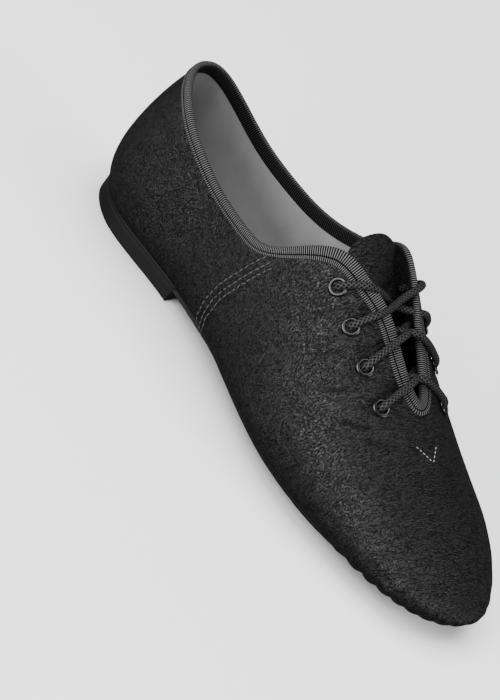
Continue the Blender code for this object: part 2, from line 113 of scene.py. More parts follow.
# Sections of the last: station, half widths, middle line, widest line and top line, as shares
LAST_COLUMNS = ("station", "lateral", "medial", "axis", "belly", "ridge")
LAST = (
    (0.00, 0.53, 0.48, 0.004, 0.282, 1.072),
    (0.14, 0.655, 0.555, -0.011, 0.260, 0.992),
    (0.28, 0.59, 0.64, -0.010, 0.241, 0.997),
    (0.42, 0.73, 0.71, -0.001, 0.227, 1.030),
    (0.56, 0.92, 0.865, 0.009, 0.194, 0.831),
    (0.68, 1.00, 0.995, 0.018, 0.177, 0.617),
    (0.80, 0.94, 1.005, 0.044, 0.150, 0.431),
    (0.90, 0.845, 0.848, 0.066, 0.116, 0.317),
    (1.00, 0.775, 0.62, 0.071, 0.083, 0.183),
)

# The top edge: station as a share of the throat's end, and the girth angle of each side's wall
EDGE_COLUMNS = ("station", "lateral", "medial")
TOP_EDGE = (
    (0.00, 31.5, 31.5),
    (0.17, 28.5, 24.5),
    (0.34, 21.4, 23.5),
    (0.47, 20.2, 25.4),
    (0.54, 23.8, 29.8),
    (0.59, 32.4, 36.0),
    (0.67, 52.5, 56.0),
    (0.75, 65.4, 68.5),
    (0.835, 77.3, 76.5),
    (0.92, 82.3, 81.5),
    (0.97, 85.0, 84.5),
    (1.00, 86.5, 85.5),
)

# The ribbon's section, from its outer lower edge over the fold to its inner lower edge: shares of
# the outer and the inner leg's depth, and rise past the leather's edge and height over it, in mm
RIBBON_PROFILE = (
    (1.03, 0, 0, 0.00),
    (1.03, 0, 0, 0.35),
    (0.98, 0, 0, 0.55),
    (0.84, 0, 0, 0.62),
    (0.72, 0, 0, 0.50),
    (0.67, 0, 0, 0.22),
    (0.62, 0, 0, 0.50),
    (0.50, 0, 0, 0.74),
    (0.25, 0, 0, 0.85),
    (0, 0, 0.00, 0.82),
    (0, 0, 0.45, 0.40),
    (0, 0, 0.68, -0.25),
    (0, 0, 0.70, -0.95),
    (0, 0, 0.40, -1.65),
    (0, 0.1, 0, -1.98),
    (0, 0.5, 0, -2.02),
    (0, 0.95, 0, -1.95),
    (0, 1.0, 0, -1.70),
)

# Shares of the way across that section: its groove, and where the painted shade over its inner leg
# starts and is full
RIBBON_GROOVE = 5 / 17
RIBBON_BACK_SHADE = (0.68, 0.78)


def through(columns, rows, name):
    """A natural cubic curve through one named column of a table, against its first column."""
    x = np.array([row[0] for row in rows])
    y = np.array([row[columns.index(name)] for row in rows])
    step = np.diff(x)
    slope = np.diff(y) / step
    system = np.eye(len(x))
    bend = np.zeros(len(x))
    for i in range(1, len(x) - 1):
        system[i, i - 1 : i + 2] = step[i - 1], 2 * (step[i - 1] + step[i]), step[i]
        bend[i] = 6 * (slope[i] - slope[i - 1])
    bend = np.linalg.solve(system, bend)

    def at(share):
        share = np.clip(share, x[0], x[-1])
        i = np.clip(np.searchsorted(x, share) - 1, 0, len(step) - 1)
        before = (x[i + 1] - share) / step[i]
        after = 1 - before
        curve = (before**3 - before) * bend[i] + (after**3 - after) * bend[i + 1]
        return before * y[i] + after * y[i + 1] + curve * step[i] ** 2 / 6

    return at


LATERAL_WIDTH = through(LAST_COLUMNS, LAST, "lateral")
MEDIAL_WIDTH = through(LAST_COLUMNS, LAST, "medial")
AXIS = through(LAST_COLUMNS, LAST, "axis")
BELLY = through(LAST_COLUMNS, LAST, "belly")
RIDGE = through(LAST_COLUMNS, LAST, "ridge")
LATERAL_EDGE = through(EDGE_COLUMNS, TOP_EDGE, "lateral")
MEDIAL_EDGE = through(EDGE_COLUMNS, TOP_EDGE, "medial")


def lengths_along(path):
    """The length travelled along a path up to each of its points."""
    return np.concatenate([[0], np.cumsum(np.linalg.norm(np.diff(path, axis=0), axis=1))])


def smooth(share):
    """A smooth step from 0 to 1."""
    share = np.clip(share, 0, 1)
    return share * share * (3 - 2 * share)


def half_width(x, side):
    share = np.where(side < 0, LATERAL_WIDTH(x / LENGTH), MEDIAL_WIDTH(x / LENGTH))
    return share * BALL_WIDTH / 2


def axis(x):
    return AXIS(x / LENGTH) * BALL_WIDTH


def sole_underside(x):
    arch = smooth((TREAD_BACK - x) / (TREAD_BACK - HEEL_LENGTH))
    toe = np.clip((x - TREAD_FRONT) / (LENGTH - TREAD_FRONT), 0, 1)
    return (HEEL_HEIGHT + 2 * FIT_GAP) * arch + TOE_SPRING * toe**SPRING_POWER


def last_bottom(x):
    return sole_underside(x) + SOLE_THICK + SOLE_GAP


def belly(x):
    return last_bottom(x) + BELLY(x / LENGTH) * LAST_HEIGHT


def ridge(x):
    return last_bottom(x) + RIDGE(x / LENGTH) * LAST_HEIGHT


def outline(p, side):
    """The last's widest line in plan, p running from 0 at the heel's back to 1 at the toe."""
    heel = np.clip(p / HEEL_TURN, 0, 1) * math.pi / 2
    toe = np.clip((p - 1 + TOE_TURN) / TOE_TURN, 0, 1) * math.pi / 2
    along = np.clip((p - HEEL_TURN) / (1 - HEEL_TURN - TOE_TURN), 0, 1)
    power = 2 / END_ROUND
    x = HEEL_FAN * (1 - np.cos(heel) ** power) + along * (TOE_CENTRE - HEEL_FAN)
    x = x + TOE_FAN * np.sin(toe) ** power
    across = np.maximum(np.sin(heel) * np.cos(toe), 0) ** power
    return x, axis(x) + side * half_width(x, side) * across


def spine(x):
    centre = np.clip(x, HEEL_FAN, TOE_CENTRE)
    return centre, axis(centre)


def on_section(p, side, reach):
    """The plan point at a share of the way from the spine to the outline."""
    x, y = outline(p, side)
    centre_x, centre_y = spine(x)
    return centre_x + reach * (x - centre_x), centre_y + reach * (y - centre_y)


def radius(p, side):
    x, y = outline(p, side)
    centre_x, centre_y = spine(x)
    return np.hypot(x - centre_x, y - centre_y)


def fan_rays(start, end):
    """Directions and lengths of the outline's rays round one fan's centre."""
    rays = []
    for side in (-1, 1):
        p = np.linspace(start, end, 240)[::-side]
        x, y = outline(p, side)
        centre_x, centre_y = spine(x)
        rays.append((np.arctan2(y - centre_y, np.abs(x - centre_x)), radius(p, side)))
    return [np.concatenate(pair) for pair in zip(*rays)]


HEEL_RAYS = fan_rays(HEEL_TURN, 0.0)
TOE_RAYS = fan_rays(1 - TOE_TURN, 1.0)


def reach_at(x, y):
    """The share of the way from the spine to the outline at which a plan point lies."""
    centre_x, centre_y = spine(x)
    ahead = np.abs(x - centre_x)
    across = y - centre_y
    turn = np.arctan2(across, ahead)
    ray = np.where(x < centre_x, np.interp(turn, *HEEL_RAYS), np.interp(turn, *TOE_RAYS))
    straight = np.abs(across) / half_width(x, np.sign(across))
    return np.where(ahead > 0, np.hypot(ahead, across) / ray, straight)


def top_height(x, y):
    reach = np.clip(reach_at(x, y), 0, 1)
    return belly(x) + (ridge(x) - belly(x)) * np.sqrt(1 - reach**2)


def top_point(x, y):
    return np.stack([x, y, top_height(x, y)], -1)


def top_normal(x, y, step=0.0001):
    rise_x = (top_height(x + step, y) - top_height(x - step, y)) / (2 * step)
    rise_y = (top_height(x, y + step) - top_height(x, y - step)) / (2 * step)
    normal = np.stack([-rise_x, -rise_y, np.ones_like(rise_x)], -1)
    return normal / np.linalg.norm(normal, axis=-1, keepdims=True)


def low_point(p, side, reach):
    """A point of the last below its widest line."""
    x, y = on_section(p, side, reach)
    flat = HEEL_FLAT + (BALL_FLAT - HEEL_FLAT) * smooth((p - HEEL_TURN) / (1 - HEEL_TURN - TOE_TURN))
    turn = np.clip((reach - flat) / (1 - flat), 0, 1)
    rise = 1 - (1 - turn**LOW_ROUND) ** (1 / LOW_ROUND)
    return np.stack([x, y, last_bottom(x) + (belly(x) - last_bottom(x)) * rise], -1)


def section_at(x):
    return HEEL_TURN + (1 - HEEL_TURN - TOE_TURN) * (x - HEEL_FAN) / (TOE_CENTRE - HEEL_FAN)


def girdle(u):
    """Side and outline parameter once round the shoe: heel, outer side, toe, inner side."""
    return np.where(u < 0.5, -1, 1), np.where(u < 0.5, 2 * u, 2 - 2 * u)


def top_edge(u):
    """Plan point of the top edge: collar, throat and its round end."""
    side, share = girdle(u)
    start, end = section_at(QUARTER_TOP), section_at(THROAT_END)
    rest = np.clip((share - start) / (1 - start), 0, 1)
    eased = start + (end - start) * (1 - (1 - rest) ** ((1 - start) / (end - start)))
    p = np.where(share < start, share, eased)
    x = outline(p, side)[0]
    station = x / THROAT_END
    angle = np.where(side < 0, LATERAL_EDGE(station), MEDIAL_EDGE(station))
    closing = np.clip((x - THROAT_END + THROAT_ROUND) / THROAT_ROUND, 0, 1)
    reach = np.cos(np.radians(angle)) * np.sqrt(1 - closing**2)
    return np.stack(on_section(p, side, reach), -1)


def down_from_edge(u, plan, span=0.002):
    """The direction down the wall, square to the top edge."""
    before, after = top_edge((u - span) % 1), top_edge((u + span) % 1)
    along = top_point(*after.T) - top_point(*before.T)
    down = np.cross(along, top_normal(*plan.T))
    return down / np.linalg.norm(down, axis=-1, keepdims=True)


def below_edge(u, distance, steps=4):
    """Plan point that lies a distance below the top edge, over the surface."""
    plan = top_edge(u)
    down = down_from_edge(u, plan)
    for _ in range(steps):
        normal = top_normal(*plan.T)
        down = down - np.sum(down * normal, -1, keepdims=True) * normal
        down = down / np.linalg.norm(down, axis=-1, keepdims=True)
        plan = plan + down[:, :2] * (distance / steps)[:, None]
    return plan


def ribbon_depth(u):
    """Depth of the ribbon's outer leg: wide along the throat, less round the collar and its end."""
    x = top_edge(u)[:, 0]
    along = smooth((x - COLLAR_FRONT) / (1.1 * (QUARTER_TOP - COLLAR_FRONT)))
    ending = smooth((x - THROAT_END + 1.5 * THROAT_ROUND) / (1.5 * THROAT_ROUND))
    depth = COLLAR_DEPTH + (RIBBON_DEPTH - COLLAR_DEPTH) * along
    return depth - (RIBBON_DEPTH - END_DEPTH) * ending


def wall_points(u, v, lowest_reach):
    """Points of the upper's outer face, v running from 0 at its lower edge to 1 at the top."""
    side, p = girdle(u)
    ribbon = below_edge(u, ribbon_depth(u) * np.clip((1 - v) / (1 - RIBBON_ROW), 0, 1))
    widest = np.stack(outline(p, side), -1)
    steep = np.arccos(np.clip(reach_at(*ribbon.T), 0, 1))
    fall = np.clip((RIBBON_ROW - v) / (RIBBON_ROW - BELLY_ROW), 0, 1)
    share = (np.cos(steep * (1 - fall)) - np.cos(steep)) / (1 - np.cos(steep))
    high = top_point(*(ribbon + (widest - ribbon) * share[:, None]).T)
    under = np.clip(1 - v / BELLY_ROW, 0, 1)
    reach = 1 - (1 - lowest_reach) * (1 - np.cos(under * math.pi / 2) ** (2 / LOW_ROUND))
    low = low_point(p, side, reach)
    return np.where((v < BELLY_ROW)[:, None], low, high)


def sole_margin(p):
    heel_end = section_at(HEEL_LENGTH)
    arch = (ARCH_MARGIN - HEEL_MARGIN) * smooth((p - heel_end) / HEEL_TURN)
    ball = (BALL_MARGIN - ARCH_MARGIN) * smooth((p - 0.5) / TOE_TURN)
    toe = (TOE_MARGIN - BALL_MARGIN) * smooth((p - 1 + 1.5 * TOE_TURN) / (1.5 * TOE_TURN))
    return HEEL_MARGIN + arch + ball + toe


def heel_middle():
    return (HEEL_MARGIN + HEEL_LENGTH) / 2


ORIGIN = np.array([heel_middle(), float(axis(heel_middle())), 0.0])


# Building pieces


def read(mesh, name="position"):
    values = np.empty(len(mesh.vertices) * 3, np.float32)
    mesh.attributes[name].data.foreach_get("vector", values)
    return values.reshape(-1, 3).astype(float)


def write(mesh, points, name="position"):
    mesh.attributes[name].data.foreach_set("vector", np.ascontiguousarray(points, np.float32).ravel())
    mesh.update()


def normals(mesh):
    values = np.empty(len(mesh.vertices) * 3, np.float32)
    mesh.vertex_normals.foreach_get("vector", values)
    return values.reshape(-1, 3).astype(float)


def sheet(name, columns, rows, where, relief=None, uv=None):
    """A grid laid on a surface: where places it, uv maps it and relief lifts it along its normal."""
    made = bmesh.new()
    bmesh.ops.create_grid(made, x_segments=columns, y_segments=rows, size=0.5)
    mesh = bpy.data.meshes.new(name)
    made.to_mesh(mesh)
    places = read(mesh) + 0.5
    mesh.attributes.new("place", "FLOAT_VECTOR", "POINT")
    write(mesh, places, "place")
    write(mesh, where(places[:, 0], places[:, 1]))
    if uv:
        flat = uv(places[:, 0], places[:, 1])
        corner = np.empty(len(mesh.loops), np.int32)
        mesh.loops.foreach_get("vertex_index", corner)
        layer = mesh.uv_layers.new(name="surface")
        layer.data.foreach_set("uv", np.ascontiguousarray(flat[corner], np.float32).ravel())
    made.clear()
    made.from_mesh(mesh)
    bmesh.ops.remove_doubles(made, verts=made.verts, dist=1e-6)
    made.to_mesh(mesh)
    made.free()
    if relief:
        points = read(mesh)
        place = read(mesh, "place")
        height = relief(points, place[:, 0], place[:, 1])
        write(mesh, points + normals(mesh) * height[:, None])
    return mesh


def stand(name, mesh, finish, replaced=()):
    """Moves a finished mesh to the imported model's frame and makes it a piece on the root body."""
    write(mesh, read(mesh) - ORIGIN)
    if "place" in mesh.attributes:
        mesh.attributes.remove(mesh.attributes["place"])
    mesh.materials.append(finish)
    mesh.shade_smooth()
    made = bpy.data.objects.new(name, mesh)
    bpy.context.scene.collection.objects.link(made)
    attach(made, "root")
    if replaced:
        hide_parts(*replaced)
    return made


def joined(name, made, outward=True):
    mesh = bpy.data.meshes.new(name)
    if outward:
        bmesh.ops.recalc_face_normals(made, faces=made.faces)
    made.to_mesh(mesh)
    made.free()
    return mesh


def edited(mesh, operation):
    """Runs one edit on all faces of a mesh."""
    made = bmesh.new()
    made.from_mesh(mesh)
    operation(made, faces=made.faces)
    made.to_mesh(mesh)
    made.free()


def solid(mesh, thickness):
    """Gives a sheet its thickness, behind its face."""

    def thicken(made, faces):
        made.normal_update()
        bmesh.ops.solidify(made, geom=list(faces), thickness=thickness)
        bmesh.ops.recalc_face_normals(made, faces=made.faces)

    edited(mesh, thicken)
    return mesh


def eyelet_place(index, side):
    """Centre and outward normal of one eyelet on the leather's outer face."""
    share = index / (EYELETS_A_SIDE - 1)
    x = FIRST_EYELET + (LAST_EYELET - FIRST_EYELET) * share
    first, last = EYELET_ANGLES
    reach = math.cos(math.radians(first + (last - first) * share))
    x, y = (np.array([value]) for value in on_section(section_at(x), side, reach))
    return top_point(x, y)[0], top_normal(x, y)[0]


EYELET_PLACES = [eyelet_place(index, side) for side in (-1, 1) for index in range(EYELETS_A_SIDE)]


def surface_at(station, angle, side):
    """A point of the leather at a station, as a share of the length, and a girth angle."""
    x = np.array([station * LENGTH])
    reach = math.cos(math.radians(angle))
    y = axis(x) + side * half_width(x, side) * reach
    return top_point(x, y)[0]


def path_distance(points, path):
    """Distance of points from a path of straight pieces, and the share of the way along it."""
    best = np.full(len(points), 1.0)
    along = np.zeros(len(points))
    path = np.array(path)
    for i, (a, b) in enumerate(zip(path[:-1], path[1:])):
        run = b - a
        share = np.clip((points - a) @ run / (run @ run), 0, 1)
        away = np.linalg.norm(points - a - share[:, None] * run, axis=1)
        near = away < best
        best = np.where(near, away, best)
        along = np.where(near, (i + share) / (len(path) - 1), along)
    return best, along


def bell(distance, width):
    return np.exp(-((distance / width) ** 2))


# Materials


def linear(hex_colour):
    """A hex sRGB colour as linear RGBA."""
    parts = [int(hex_colour[i : i + 2], 16) / 255 for i in (1, 3, 5)]
    return [c / 12.92 if c <= 0.04045 else ((c + 0.055) / 1.055) ** 2.4 for c in parts] + [1.0]


def hex_property(name, description, value):
    return bpy.props.FloatVectorProperty(
        name=name, description=description, subtype="COLOR", size=4, min=0, max=1, default=linear(value)
    )


def add(tree, kind, inputs=None, **settings):
    """Adds a node; an input's value is a number, a colour, or another node's output socket."""
    node = tree.nodes.new("ShaderNode" + kind)
    for name, value in settings.items():
        setattr(node, name, value)
    for name, value in (inputs or {}).items():
        if isinstance(value, bpy.types.NodeSocket):
            tree.links.new(value, node.inputs[name])
        else:
            node.inputs[name].default_value = value
    return node


def new_material(name):
    made = bpy.data.materials.new(name)
    made.use_nodes = True
    tree = made.node_tree
    return made, tree, tree.nodes["Principled BSDF"]


def settle(shader, values):
    for name, value in values.items():
        shader.inputs[name].default_value = value


def bumped(tree, shader, *layers):
    """Chains bump layers, each a height socket and a depth in metres."""
    normal = None
    for height, depth in layers:
        inputs = {"Height": height, "Distance": depth, "Strength": 1.0}
        if normal:
            inputs["Normal"] = normal
        normal = add(tree, "Bump", inputs).outputs["Normal"]
    tree.links.new(normal, shader.inputs["Normal"])


def maths(tree, operation, *values):
    return add(tree, "Math", dict(enumerate(values)), operation=operation).outputs[0]


def noise(tree, place, scale, detail):
    return add(tree, "TexNoise", {"Vector": place, "Scale": scale, "Detail": detail}).outputs["Fac"]


def bands(tree, place, pitch, way, distortion):
    """Waves at a pitch along one direction."""
    inputs = {"Vector": place, "Scale": math.pi / 10 / pitch, "Distortion": distortion}
    made = add(tree, "TexWave", inputs, wave_type="BANDS", bands_direction=way)
    return made.outputs["Fac"]


def mapped(tree, value, start, end, low=0.0, high=1.0, **settings):
    """Maps a range of values to another, held at its ends."""
    inputs = {"Value": value, "From Min": start, "From Max": end, "To Min": low, "To Max": high}
    return add(tree, "MapRange", inputs, **settings).outputs["Result"]


def coloured(tree, shader, factor, dark, light):
    """Blends the shader's colour from dark to light."""
    tone = add(tree, "Mix", {"Factor": factor, 6: tuple(dark), 7: tuple(light)}, data_type="RGBA")
    tree.links.new(tone.outputs[2], shader.inputs["Base Color"])


def shining(tree, shader, factor, low, high):
    """Varies the shader's reflection with a factor."""
    tree.links.new(mapped(tree, factor, 0.0, 1.0, low, high), shader.inputs["Specular IOR Level"])


def leather_material():
    """Drum-dyed calf leather: a fine grain, drawn out across the foot, breaks a soft gloss; its valleys
    carry painted shade.
    """
    grain = bpy.context.scene.shoe_sizes.grain
    made, tree, shader = new_material("waxed_calf_leather")
    place = add(tree, "TexCoord").outputs["Object"]
    bent = add(tree, "TexNoise", {"Vector": place, "Scale": 0.045 / grain, "Detail": 2.0})
    moved = add(tree, "VectorMath", {0: bent.outputs["Color"], 3: grain * 5}, operation="SCALE")
    warped = add(tree, "VectorMath", {0: place, 1: moved.outputs[0]}, operation="ADD").outputs[0]
    drawn = add(tree, "Mapping", {"Vector": warped, "Scale": (1.0, 0.32, 0.5)}).outputs[0]
    folds = []
    for rate in (0.55, 1.0):
        off_middle = maths(tree, "SUBTRACT", noise(tree, drawn, rate / grain, 1.5), 0.5)
        folds.append(mapped(tree, maths(tree, "ABSOLUTE", off_middle), 0.0, 0.12))
    height = add(tree, "Mix", {"Factor": 0.5, 2: folds[0], 3: folds[1]}, data_type="FLOAT").outputs[0]
    wave = noise(tree, place, 0.018 / grain, 2.0)
    bumped(tree, shader, (wave, grain * 3.0), (height, grain * 0.50))
    # Painted shade: the grain's valleys are coloured darker and made less shiny than its ridges.
    painted_grain_shade = mapped(tree, height, 0.1, 0.8)
    coloured(tree, shader, painted_grain_shade, linear("#040404"), bpy.context.scene.shoe_colours.leather)
    shining(tree, shader, painted_grain_shade, 0.05, 0.66)
    settle(shader, {"Roughness": 0.48, "IOR": 1.42})
    return made


def ribbon_material():
    """Rayon grosgrain ribbon: cross ribs with a painted sheen, a sewn groove between its two rows, and
    painted shade in its grooves and over its inner leg.
    """
    pitch = bpy.context.scene.shoe_sizes.rib_pitch
    made, tree, shader = new_material("rayon_grosgrain")
    place = add(tree, "UVMap", uv_map="surface").outputs["UV"]
    ribs = bands(tree, place, pitch, "X", 0.0)
    across = add(tree, "SeparateXYZ", {"Vector": place}).outputs["Y"]
    from_groove = maths(tree, "ABSOLUTE", maths(tree, "SUBTRACT", across, RIBBON_GROOVE))
    beside = mapped(tree, from_groove, 0.035, 0.065, interpolation_type="SMOOTHSTEP")
    # Painted light: the tops of the ribs take the ribbon's sheen grey, and the grooves between them and
    # the sewn groove are painted black as shade.
    lit = maths(tree, "MULTIPLY", mapped(tree, ribs, 0.35, 0.95), beside)
    # Painted shade: the inner leg of the fold is darkened and made less shiny.
    lit = maths(tree, "MULTIPLY", lit, mapped(tree, across, *RIBBON_BACK_SHADE, 1.0, 0.22))
    yarn = noise(tree, add(tree, "TexCoord").outputs["Object"], 1500.0, 2.0)
    bumped(tree, shader, (ribs, pitch * 0.35), (yarn, 0.00008))
    coloured(tree, shader, lit, linear("#020202"), bpy.context.scene.shoe_colours.ribbon)
    shining(tree, shader, lit, 0.02, 0.6)
    settle(shader, {"Roughness": 0.55})
    return made


def weave_material(name, colour, pitch):
    """Plain-woven cotton: threads drawn as coarse as they need to show."""
    made, tree, shader = new_material(name)
    place = add(tree, "TexCoord").outputs["Object"]
    waves = [bands(tree, place, pitch, way, 0.6) for way in ("X", "Z")]
    bumped(tree, shader, (maths(tree, "MULTIPLY", *waves), pitch * 0.12))
    dark = [c * 0.62 for c in colour[:3]] + [1.0]
    coloured(tree, shader, noise(tree, place, 90.0, 5.0), dark, colour)
    settle(shader, {"Roughness": 0.9})
    return made


def suede_material():
    """Split suede: a deep nap that scatters light."""
    made, tree, shader = new_material("split_suede")
    place = add(tree, "TexCoord").outputs["Object"]
    nap = noise(tree, place, 1400.0, 3.0)
    bumped(tree, shader, (noise(tree, place, 160.0, 3.0), 0.0006), (nap, 0.0004))
    coloured(tree, shader, nap, linear("#0c0c0c"), bpy.context.scene.shoe_colours.suede)
    settle(shader, {"Roughness": 0.95, "Specular IOR Level": 0.2})
    return made


def rubber_material():
    """Moulded rubber: a satin black with a faint grain."""
    made, tree, shader = new_material("moulded_rubber")
    place = add(tree, "TexCoord").outputs["Object"]
    bumped(tree, shader, (noise(tree, place, 900.0, 2.0), 0.0001))
    colour = bpy.context.scene.shoe_colours.rubber
    settle(shader, {"Base Color": colour, "Roughness": 0.5, "Specular IOR Level": 0.3})
    return made


def braid_material():
    """Braided polyester: two families of strands cross over a round core."""
    thickness = bpy.context.scene.shoe_sizes.lace
    made, tree, shader = new_material("polyester_braid")
    place = add(tree, "SeparateXYZ", {"Vector": add(tree, "UVMap", uv_map="surface").outputs["UV"]})
    strands_round, strand_pitch = 5, 0.6 * thickness
    turned = maths(tree, "MULTIPLY", place.outputs["Y"], 2 * strands_round / thickness)
    along = maths(tree, "MULTIPLY", place.outputs["X"], 2 * math.pi / strand_pitch)
    strands = [maths(tree, "SINE", maths(tree, way, along, turned)) for way in ("ADD", "SUBTRACT")]
    height = mapped(tree, maths(tree, "MAXIMUM", *strands), -0.5, 1.0)
    bumped(tree, shader, (height, 0.00035))
    # Painted light: the tops of the strands take the lace's sheen grey and the pits between them are
    # painted black as shade.
    coloured(tree, shader, height, linear("#060606"), bpy.context.scene.shoe_colours.lace)
    shining(tree, shader, height, 0.05, 0.42)
    settle(shader, {"Roughness": 0.5})
    return made


def enamel_material():
    """Black enamelled brass, worn bright on the rim where the lace rubs."""
    made, tree, shader = new_material("enamelled_brass")
    place = add(tree, "UVMap", uv_map="surface").outputs["UV"]
    across = add(tree, "SeparateXYZ", {"Vector": place}).outputs["Y"]
    ramp = add(tree, "ValToRGB", {"Fac": across})
    stops = ramp.color_ramp.elements
    stops[0].position, stops[0].color = 0.0, (0, 0, 0, 1)
    stops[1].position, stops[1].color = 1.0, (0, 0, 0, 1)
    for position, value in ((0.29, 0.0), (0.33, 0.8), (0.36, 0.8), (0.40, 0.0)):
        stop = stops.new(position)
        stop.color = (value, value, value, 1)
    worn = ramp.outputs["Color"]
    coloured(tree, shader, worn, bpy.context.scene.shoe_colours.enamel, linear("#8f9094"))
    tree.links.new(worn, shader.inputs["Metallic"])
    settle(shader, {"Roughness": 0.25})
    return made


def plain_material(name, colour, roughness):
    made, _, shader = new_material(name)
    settle(shader, {"Base Color": colour, "Roughness": roughness})
    return made


# Relief of the leather

# The side seam's path: shares of the length and girth angles, then shares of the reach
SEAM_ABOVE = ((0.399, 23.5), (0.386, 15.0), (0.374, 6.0), (0.368, 1.0))
SEAM_BELOW = ((0.366, 0.985), (0.368, 0.94), (0.370, 0.88), (0.371, 0.80))
PLEATS = 75.0


def side_seam(side):
    """The path of the side seam from the ribbon to the sole."""
    path = [surface_at(station, angle, side) for station, angle in SEAM_ABOVE]
    for station, reach in SEAM_BELOW:
        path.append(low_point(section_at(np.array([station * LENGTH])), side, np.array([reach]))[0])
    return path


def seam_station(points, side):
    """The side seam's station at the height of each point."""
    path = np.array(side_seam(side))[::-1]
    return np.interp(points[:, 2], path[:, 2], path[:, 0])


# Creases of the worn-in leather on the outer side: stations and girth angles, width and depth, mm
CREASES = (
    (((0.670, 36), (0.696, 47), (0.712, 58)), 1.8, 1.1),
    (((0.610, 30), (0.636, 42), (0.642, 52)), 1.7, 0.9),
    (((0.555, 28), (0.580, 40), (0.586, 50)), 1.7, 0.9),
    (((0.500, 30), (0.522, 40), (0.530, 48)), 1.6, 0.8),
    (((0.715, 45), (0.728, 54), (0.740, 69)), 2.2, 0.7),
    (((0.770, 40), (0.790, 60)), 3.0, 0.3),
    (((0.900, 12), (0.915, 24), (0.910, 36)), 2.2, 0.8),
    (((0.930, 18), (0.945, 30)), 1.8, 0.7),
)

# Depths and widths of the seam, the puckers round the eyelets, the pleats and the soft waves
SEAM_DEPTH = 0.0005
SEAM_WIDTH = 0.0007
LAP_RISE = 0.00035
LAP_AHEAD = 0.0028
LAP_WIDTH = 0.0022
PUCKER_DEPTH = 0.0004
PUCKER_WIDTH = 0.0065
RIPPLE_RISE = 0.00012
RIPPLE_RING = 0.0068
RIPPLE_WIDTH = 0.0022
PLEAT_DEPTH = 0.0011
RIM_RIPPLE = 0.00010
SOFT_WAVE = 0.00025


def leather_relief(points, u, v):
    """Height of the leather over the last: seams, puckers, creases, pleats and soft waves."""
    height = np.zeros(len(points))
    for side in (-1, 1):
        away, _ = path_distance(points, side_seam(side))
        behind = points[:, 0] < seam_station(points, side)
        height -= SEAM_DEPTH * bell(away, SEAM_WIDTH)
        height += np.where(behind, 0.0, LAP_RISE) * bell(away - LAP_AHEAD, LAP_WIDTH)
    for places, width, depth in CREASES:
        path = [surface_at(station, angle, -1) for station, angle in places]
        width, depth = width / 1000, depth / 1000
        away, along = path_distance(points, path)
        fade = np.sin(np.pi * np.clip(along, 0.02, 0.98)) ** 0.6
        height -= depth * fade * bell(away, width)
        height += 0.5 * depth * fade * bell(away - 2 * width, width)
    for centre, _ in EYELET_PLACES:
        away = np.linalg.norm(points - centre, axis=1)
        turn = np.arctan2(points[:, 2] - centre[2], points[:, 0] - centre[0])
        height -= PUCKER_DEPTH * bell(away, PUCKER_WIDTH)
        ripple = np.cos(9 * turn + 40 * centre[0])
        height += RIPPLE_RISE * ripple * bell(away - RIPPLE_RING, RIPPLE_WIDTH)
    toe = smooth((np.minimum(u, 1 - u) - 0.36) / 0.06)
    under = smooth((BELLY_ROW * 1.25 - v) / (BELLY_ROW * 0.9))
    ruffle = np.abs(np.cos(math.pi * PLEATS * (u - 0.5) + 1.3 * np.sin(29 * u)))
    height += toe * under * PLEAT_DEPTH * (ruffle - 0.7)
    rim = toe * bell(v - BELLY_ROW * 1.2, 0.10)
    height += rim * RIM_RIPPLE * np.sin(2 * math.pi * PLEATS * (u - 0.5) + 2 * np.sin(50 * u))
    soft = np.sin(61 * points[:, 0] + 1.7) * np.sin(83 * points[:, 2] + 55 * points[:, 1])
    height += SOFT_WAVE * soft
    return height * np.clip((RIBBON_ROW - v) / 0.05 + 0.1, 0.1, 1)


# Sizes and colours that a user would change


def length_property(name, description, default):
    return bpy.props.FloatProperty(
        name=name, description=description, default=default, unit="LENGTH"
    )


class ShoeSizes(bpy.types.PropertyGroup):
    grain: length_property("Grain", "Width of one grain of the leather", 0.00058)
    rib_pitch: length_property("Rib pitch", "Distance between the ribbon's ribs", 0.00088)
    lace: length_property("Lace", "Diameter of the lace", 0.0031)
    stitch: length_property("Stitch", "Length of one stitch of the side seam", 0.0022)
    thread: length_property("Thread", "Diameter of the sewing thread", 0.0006)
    weave: length_property("Weave", "Thread spacing of the lining", 0.0007)


class ShoeColours(bpy.types.PropertyGroup):
    leather: hex_property("Leather", "Black of the leather", "#0d0d0e")
    ribbon: hex_property("Ribbon", "Sheen grey of the ribbon's ribs", "#505051")
    lining: hex_property("Lining", "Grey of the woven lining", "#7c7c7c")
    insole: hex_property("Insole", "Grey of the insole's cover", "#6c6c6c")
    suede: hex_property("Suede", "Black of the sole", "#242424")
    rubber: hex_property("Rubber", "Black of the heel block", "#0b0b0b")
    enamel: hex_property("Enamel", "Black of the eyelets", "#0a0a0a")
    lace: hex_property("Lace", "Sheen grey of the braided lace", "#262627")
    thread: hex_property("Thread", "Sheen grey of the seam thread", "#464647")
    tack: hex_property("Tack thread", "Pale grey of the bar tack's thread", "#7c7c7c")
    floor: hex_property("Floor", "White of the studio floor", "#f4f4f4")


# Columns and rows of the sheets
LEATHER_GRID = (620, 150)
LINING_GRID = (300, 70)
FACING_GRID = (160, 40)
RIBBON_GRID = (900, 51)
TONGUE_GRID = (110, 60)
INSOLE_GRID = (200, 20)
SOLE_GRID = (260, 26)
HEEL_GRID = (160, 40)

# The leather facing inside, a dark sheet that also stands in for the shade inside the throat: where it
# starts round the shoe and up the wall, and how far it runs
FACING_START = (0.205, 0.55)
FACING_SPAN = (0.59, 0.435)
FACING_LIFT = 0.0002
LINING_TOP = 0.98


def upper_low(p, side):
    return 1 - (sole_margin(p) + TUCKED_UNDER) / radius(p, side)


def outer_wall(u, v):
    side, p = girdle(u)
    return wall_points(u, v, upper_low(p, side))


class SHOE_OT_upper(bpy.types.Operator):
    """Lays the leather over the last, with its seams, creases and pleats"""

    bl_idname = "shoe.upper"
    bl_label = "Leather upper"

    def execute(self, context):
        mesh = sheet("leather_upper", *LEATHER_GRID, outer_wall, leather_relief)
        stand("leather_upper", mesh, leather_material(), ["upper"])
        return {"FINISHED"}


